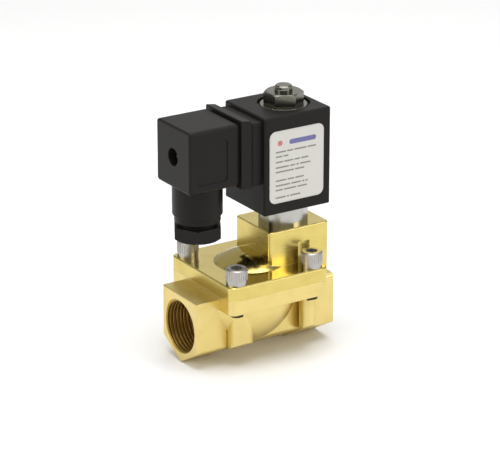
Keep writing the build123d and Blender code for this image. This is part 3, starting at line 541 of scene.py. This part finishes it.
def thread_turns(name, centre, radius, ridge, pitch, low, high):
    """A helical ridge round an upright core: one profile swept up, closed at both ends."""
    turns = (high - low - ridge) / pitch
    bpy.ops.mesh.primitive_circle_add(
        vertices=4, radius=ridge, location=(radius, 0, 0), rotation=(math.pi / 2, 0, 0)
    )
    piece = bpy.context.object
    piece.name = name
    piece.data.name = name
    bpy.ops.object.transform_apply(location=True, rotation=True, scale=True)
    pick(piece, lambda at: at.x < radius - ridge / 2, "VERT")
    bpy.ops.transform.translate(value=(ridge * ROOT_SHIFT, 0, 0))
    bpy.ops.object.mode_set(mode="OBJECT")
    piece.location = (0, 0, 0)
    sweep = piece.modifiers.new("sweep", "SCREW")
    sweep.axis = "Z"
    sweep.angle = 2 * math.pi * turns
    sweep.screw_offset = pitch * turns
    sweep.iterations = 1
    sweep.steps = max(FEWEST_STEPS, int(STEPS_PER_TURN * turns))
    sweep.render_steps = sweep.steps
    sweep.use_merge_vertices = False
    apply_all(piece)
    bpy.ops.object.mode_set(mode="EDIT")
    bpy.ops.mesh.select_mode(type="EDGE")
    bpy.ops.mesh.select_all(action="DESELECT")
    bpy.ops.mesh.select_non_manifold()
    bpy.ops.mesh.fill_holes(sides=6)
    bpy.ops.object.mode_set(mode="OBJECT")
    piece.location = (centre[0], centre[1], low + ridge / 2)
    return settle(piece, 30)


# ---------------------------------------------------------------- operators


class BrassParts(bpy.types.Operator):
    """Gives the cast body, the bonnet and the turned brass parts inside their brass finishes"""

    bl_idname = "valve.brass_parts"
    bl_label = "Brass Parts"

    def execute(self, context):
        colours, sizes = context.scene.valve_colours, context.scene.valve_sizes
        dress(cast_brass("body_brass", colours, sizes), "body")
        dress(polished_brass("bonnet_brass", colours, sizes), "bonnet")
        turned = turned_brass("turned_brass", colours)
        dress(turned, "valve_disc", "pilot_nozzle", "gland_washer")
        return {"FINISHED"}


class SteelParts(bpy.types.Operator):
    """Gives screws, washers, the tube, the yoke, nuts and springs their metal finishes"""

    bl_idname = "valve.steel_parts"
    bl_label = "Steel Parts"

    def execute(self, context):
        colours, sizes = context.scene.valve_colours, context.scene.valve_sizes
        zinc = zinc_plate("screw_zinc", colours)
        dress(zinc, "bonnet_screws", "spring_washers", "plug_screw", "yoke")
        dress(dull_plating("washer_plating", colours, sizes, gloss=0.05), "nut_washer")
        steel = brushed_steel("tube_steel", colours)
        dress(steel, "armature_tube", "plunger", "diaphragm_plate", "stem_nut")
        dress(dull_plating("stud_plating", colours, sizes, gloss=0.16), "fixed_core")
        dress(brushed_steel("spring_steel", colours, rough=0.14), "main_spring", "plunger_spring")
        dress(dull_plating("nut_plating", colours, sizes), "coil_nut")
        tin = brushed_steel("contact_tin", colours, "contact")
        dress(tin, "terminal_pins", "contact_clips", "contact_screws")
        return {"FINISHED"}


class PlasticParts(bpy.types.Operator):
    """Gives the coil, the plug and the gland their moulded plastic"""

    bl_idname = "valve.plastic_parts"
    bl_label = "Plastic Parts"

    BLACK = (
        ("coil_plastic", "coil_housing", 0.36, 0.40 * MM),
        ("plug_plastic", "plug_housing", 0.32, 0.28 * MM),
        ("gland_plastic", "gland_nut", 0.30, 0.22 * MM),
    )

    def execute(self, context):
        colours, sizes = context.scene.valve_colours, context.scene.valve_sizes
        for name, node, rough, grain in self.BLACK:
            dress(moulded_plastic(name, colours, sizes, rough=rough, grain_size=grain), node)
        grey = moulded_plastic("bobbin_plastic", colours, sizes, tint="grey")
        dress(grey, "bobbin", "terminal_insert")
        return {"FINISHED"}


class RubberAndCopper(bpy.types.Operator):
    """Gives the seals, the diaphragm, the winding and the shading ring their finishes"""

    bl_idname = "valve.rubber_and_copper"
    bl_label = "Rubber and Copper"

    def execute(self, context):
        colours = context.scene.valve_colours
        rubber = soft_rubber("seal_rubber", colours)
        dress(rubber, "diaphragm", "seat_seal", "tube_o_ring", "plunger_seal")
        dress(rubber, "plug_gasket", "plug_screw_seal", "gland_seal")
        dress(copper_turns("winding_copper", colours), "winding", "shading_ring")
        return {"FINISHED"}


class ScrewKnurls(bpy.types.Operator):
    """Models one knurled band of ridges and copies it round all four screw heads"""

    bl_idname = "valve.screw_knurls"
    bl_label = "Screw Knurls"

    HEAD_RADIUS = 4.9 * MM
    TOP_MARGIN = 0.8 * MM  # plain band between the knurl and the head's top
    STAND_OFF = 0.01 * MM
    RIDGE_INSET = 0.05 * MM
    WALL = 0.3 * MM

    def execute(self, context):
        sizes = context.scene.valve_sizes
        head = self.HEAD_RADIUS
        first = Vector((SCREWS_LOW.x + head, SCREWS_LOW.y + head))
        last = Vector((SCREWS_HIGH.x - head, SCREWS_HIGH.y - head))
        middle_z = SCREWS_HIGH.z - self.TOP_MARGIN - sizes.knurl_band / 2
        drop_selection()
        bpy.ops.mesh.primitive_cylinder_add(
            vertices=2 * sizes.knurl_teeth,
            radius=head + self.STAND_OFF,
            depth=sizes.knurl_band,
            end_fill_type="NOTHING",
        )
        band = bpy.context.object
        band.name = "screw_knurl.0"
        step = math.pi / sizes.knurl_teeth
        pick(band, lambda at, out: round(math.atan2(at.y, at.x) / step - 0.5) % 2 == 0)
        bpy.ops.mesh.inset(
            thickness=self.RIDGE_INSET, depth=sizes.knurl_height, use_individual=True
        )
        bpy.ops.object.mode_set(mode="OBJECT")
        wall = band.modifiers.new("wall", "SOLIDIFY")
        wall.thickness = self.WALL
        wall.offset = -1
        apply_all(band)
        band.location = (first.x, first.y, middle_z)
        settle(band, 20)
        zinc = zinc_plate("knurl_zinc", context.scene.valve_colours)
        finished(band, "valve_body", zinc)
        along, across = last.x - first.x, last.y - first.y
        for number, shift in enumerate([(along, 0, 0), (0, across, 0), (along, across, 0)], 1):
            twin = copied(band, f"screw_knurl.{number}", shift)
            finished(twin, "valve_body", zinc)
        return {"FINISHED"}


class StudThread(bpy.types.Operator):
    """Models the thread turns on the stud that stands out of the coil nut"""

    bl_idname = "valve.stud_thread"
    bl_label = "Stud Thread"

    STUD_RADIUS = 4.0 * MM
    START_GAP = 0.1 * MM
    PLAIN_TIP = 0.5 * MM

    def execute(self, context):
        sizes = context.scene.valve_sizes
        drop_selection()
        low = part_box("coil_nut")[1].z + self.START_GAP
        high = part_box("fixed_core")[1].z - self.PLAIN_TIP
        ridge, pitch = sizes.stud_ridge, sizes.stud_pitch
        centre = (TUBE_X, 0)
        piece = thread_turns("stud_thread", centre, self.STUD_RADIUS, ridge, pitch, low, high)
        plating = dull_plating("thread_plating", context.scene.valve_colours, sizes, gloss=0.16)
        finished(piece, "valve_body", plating)
        return {"FINISHED"}


class GlandThread(bpy.types.Operator):
    """Models the thread turns that show between the cable gland's nut and its sleeve"""

    bl_idname = "valve.gland_thread"
    bl_label = "Gland Thread"

    NECK_RADIUS = 9.0 * MM
    NECK_TOP = 50.6 * MM
    START_GAP = 0.05 * MM

    def execute(self, context):
        sizes = context.scene.valve_sizes
        drop_selection()
        low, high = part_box("gland_nut")[1].z + self.START_GAP, self.NECK_TOP
        ridge, pitch = sizes.gland_ridge, sizes.gland_pitch
        centre = (GLAND_X, 0)
        piece = thread_turns("gland_thread", centre, self.NECK_RADIUS, ridge, pitch, low, high)
        colours = context.scene.valve_colours
        grain = 0.25 * MM
        plastic = moulded_plastic("thread_plastic", colours, sizes, rough=0.34, grain_size=grain)
        finished(piece, "plug", plastic)
        return {"FINISHED"}


class LabelPrint(bpy.types.Operator):
    """Prints plain marks on the label: a heading bar, a round mark and rows of dashes"""

    bl_idname = "valve.label_print"
    bl_label = "Label Print"

    # how far down the label, how far across its end, and the dashes' shares of that length
    ROWS = (
        (0.291, 0.854, (5, 3, 6, 4)),
        (0.354, 0.345, (4, 3)),
        (0.429, 0.718, (4, 5, 3, 4)),
        (0.504, 0.756, (5, 2, 1, 4)),
        (0.567, 0.638, (6, 3)),
        (0.687, 0.631, (5, 3, 4)),
        (0.756, 0.707, (6, 4, 1, 1)),
        (0.818, 0.692, (3, 5, 4)),
        (0.923, 0.569, (4, 1, 4)),
    )
    ROW_START = 0.108
    WORD_GAP = 0.55 * MM
    HEADING_LEFT, HEADING_RIGHT, HEADING_DOWN = 0.36, 0.855, 0.175
    HEADING_HEIGHT = 2.3 * MM
    HEADING_RIM = 0.3 * MM
    MARK_ACROSS, MARK_DOWN = 0.19, 0.17
    MARK_RADIUS = 1.3 * MM
    MARK_RIM = 0.45 * MM
    GROOVE_SLOPE = 0.02 * MM
    SINK = 0.01 * MM  # how far the ink reaches into the film

    def across(self, share):
        return LABEL_LOW.x + share * (LABEL_HIGH.x - LABEL_LOW.x)

    def down(self, share):
        return LABEL_HIGH.z - share * (LABEL_HIGH.z - LABEL_LOW.z)

    def bar(self, name, left, right, height, z, thickness):
        """A thin bar of ink with rounded corners, standing on the label's face."""
        depth = thickness + self.SINK
        face = LABEL_LOW.y - thickness + depth / 2
        bpy.ops.mesh.primitive_cube_add(
            size=1, location=((left + right) / 2, face, z), scale=(right - left, depth, height)
        )
        piece = bpy.context.object
        piece.name = name
        bpy.ops.object.transform_apply(location=True, rotation=True, scale=True)
        pick(piece, lambda a, b: abs(a.y - b.y) > depth / 2, "EDGE")
        bpy.ops.mesh.bevel(offset=height * 0.42, segments=4, affect="EDGES")
        bpy.ops.object.mode_set(mode="OBJECT")
        return piece

    def execute(self, context):
        colours, sizes = context.scene.valve_colours, context.scene.valve_sizes
        thick = sizes.print_height
        dress(label_film("label_film", colours), "rating_label")
        drop_selection()
        dashes = []
        for share_down, share_end, words in self.ROWS:
            start, end = self.across(self.ROW_START), self.across(share_end)
            unit = (end - start - self.WORD_GAP * (len(words) - 1)) / sum(words)
            z = self.down(share_down)
            for word in words:
                stop = start + unit * word
                dashes.append(self.bar("dash", start, stop, sizes.print_line, z, thick))
                start += unit * word + self.WORD_GAP
        only(dashes[0])
        for dash in dashes:
            dash.select_set(True)
        bpy.ops.object.join()
        rows = bpy.context.object
        rows.name = "label_rows"
        settle(rows)
        finished(rows, "coil", printed_ink("row_ink", colours.ink))
        left, right = self.across(self.HEADING_LEFT), self.across(self.HEADING_RIGHT)
        z = self.down(self.HEADING_DOWN)
        heading = self.bar("label_heading", left, right, self.HEADING_HEIGHT, z, thick)
        pick(heading, lambda at, out: out.y < -0.9)
        bpy.ops.mesh.inset(thickness=self.HEADING_RIM, depth=0.0)
        bpy.ops.mesh.inset(thickness=self.GROOVE_SLOPE, depth=-thick * 0.5)
        bpy.ops.object.mode_set(mode="OBJECT")
        settle(heading)
        finished(heading, "coil", printed_ink("heading_ink", colours.ink_heading))
        drop_selection()
        face = LABEL_LOW.y - thick / 2 + self.SINK / 2
        bpy.ops.mesh.primitive_cylinder_add(
            vertices=40,
            radius=self.MARK_RADIUS,
            depth=thick + self.SINK,
            location=(self.across(self.MARK_ACROSS), face, self.down(self.MARK_DOWN)),
            rotation=(math.pi / 2, 0, 0),
        )
        mark = bpy.context.object
        mark.name = "label_mark"
        bpy.ops.object.transform_apply(location=True, rotation=True, scale=True)
        pick(mark, lambda at, out: out.y < -0.9)
        bpy.ops.mesh.inset(thickness=self.MARK_RIM, depth=0.0)
        bpy.ops.mesh.inset(thickness=self.GROOVE_SLOPE, depth=-thick * 0.8)
        bpy.ops.object.mode_set(mode="OBJECT")
        settle(mark)
        finished(mark, "coil", printed_ink("mark_ink", colours.ink_mark))
        return {"FINISHED"}


class Stage(bpy.types.Operator):
    """Lays the pale floor and sets the lights, the sky and the camera"""

    bl_idname = "valve.stage"
    bl_label = "Stage"

    TARGET = Vector((VALVE_X + 0.35 * MM, 0.0, 41.95 * MM))
    CAMERA = TARGET + Vector((-614.19, -960.4, 426.15)) * MM
    LENS = 191.45
    SENSOR_WIDTH = 36.0
    CLIP = (0.01, 50.0)
    SKY_STRENGTH = 0.42
    FLOOR_SIZE = 8
    FLOOR_CELLS = 8
    # name, place, width and power of each square light
    LIGHTS = (
        ("overhead_light", (0.05, -0.05, 1.15), 1.1, 13.0),
        ("left_light", (-1.2, 0.15, 0.55), 0.6, 4.0),
        ("front_light", (0.75, -1.2, 0.55), 0.7, 4.5),
        ("back_light", (1.0, 1.0, 0.7), 0.9, 1.0),
    )

    def softbox(self, name, place, size, power):
        light = bpy.data.lights.new(name, "AREA")
        light.shape = "RECTANGLE"
        light.size = size
        light.size_y = size
        light.energy = power
        lamp = bpy.data.objects.new(name, light)
        bpy.context.scene.collection.objects.link(lamp)
        lamp.location = place
        lamp.rotation_mode = "QUATERNION"
        lamp.rotation_quaternion = (self.TARGET - Vector(place)).to_track_quat("-Z", "Y")

    def execute(self, context):
        scene = context.scene
        drop_selection()
        bpy.ops.mesh.primitive_grid_add(
            x_subdivisions=self.FLOOR_CELLS,
            y_subdivisions=self.FLOOR_CELLS,
            size=self.FLOOR_SIZE,
            location=(0, 0, BODY_BOTTOM),
        )
        floor = bpy.context.object
        floor.name = "studio_floor"
        bpy.ops.object.transform_apply(location=True, rotation=True, scale=True)
        floor.data.materials.append(studio_floor("floor_paper", scene.valve_colours.floor))

        world = bpy.data.worlds.new("studio")
        scene.world = world
        world.use_nodes = True
        background = world.node_tree.nodes["Background"]
        background.inputs["Color"].default_value = (1.0, 1.0, 1.0, 1.0)
        background.inputs["Strength"].default_value = self.SKY_STRENGTH

        for name, place, size, power in self.LIGHTS:
            self.softbox(name, place, size, power)

        lens = bpy.data.cameras.new("camera")
        lens.sensor_width = self.SENSOR_WIDTH
        lens.lens = self.LENS
        lens.clip_start, lens.clip_end = self.CLIP
        camera = bpy.data.objects.new("camera", lens)
        scene.collection.objects.link(camera)
        camera.location = self.CAMERA
        camera.rotation_mode = "QUATERNION"
        camera.rotation_quaternion = (self.TARGET - self.CAMERA).to_track_quat("-Z", "Y")
        scene.camera = camera
        scene.view_settings.view_transform = "Standard"
        return {"FINISHED"}


class ValvePanel(bpy.types.Panel):
    """Sizes, colours and the pieces in the order they are made"""

    bl_idname = "VALVE_PT_looks"
    bl_label = "Solenoid Valve"
    bl_space_type = "VIEW_3D"
    bl_region_type = "UI"
    bl_category = "Valve"

    def draw(self, context):
        scene = context.scene
        for title, group in (("Sizes", scene.valve_sizes), ("Colours", scene.valve_colours)):
            box = self.layout.box()
            box.label(text=title)
            for name in type(group).__annotations__:
                box.prop(group, name)
        column = self.layout.column()
        for operator in OPERATORS:
            column.operator(operator.bl_idname)


OPERATORS = (
    BrassParts,
    SteelParts,
    PlasticParts,
    RubberAndCopper,
    ScrewKnurls,
    StudThread,
    GlandThread,
    LabelPrint,
    Stage,
)
CLASSES = (ValveSizes, ValveColours, *OPERATORS, ValvePanel)


def register():
    for cls in CLASSES:
        bpy.utils.register_class(cls)
    bpy.types.Scene.valve_sizes = PointerProperty(type=ValveSizes)
    bpy.types.Scene.valve_colours = PointerProperty(type=ValveColours)


def unregister():
    del bpy.types.Scene.valve_colours
    del bpy.types.Scene.valve_sizes
    for cls in reversed(CLASSES):
        bpy.utils.unregister_class(cls)


def main():
    register()
    bpy.ops.valve.brass_parts()
    bpy.ops.valve.steel_parts()
    bpy.ops.valve.plastic_parts()
    bpy.ops.valve.rubber_and_copper()
    bpy.ops.valve.screw_knurls()
    bpy.ops.valve.stud_thread()
    bpy.ops.valve.gland_thread()
    bpy.ops.valve.label_print()
    bpy.ops.valve.stage()
    drop_selection()


if __name__ == "__main__":
    main()
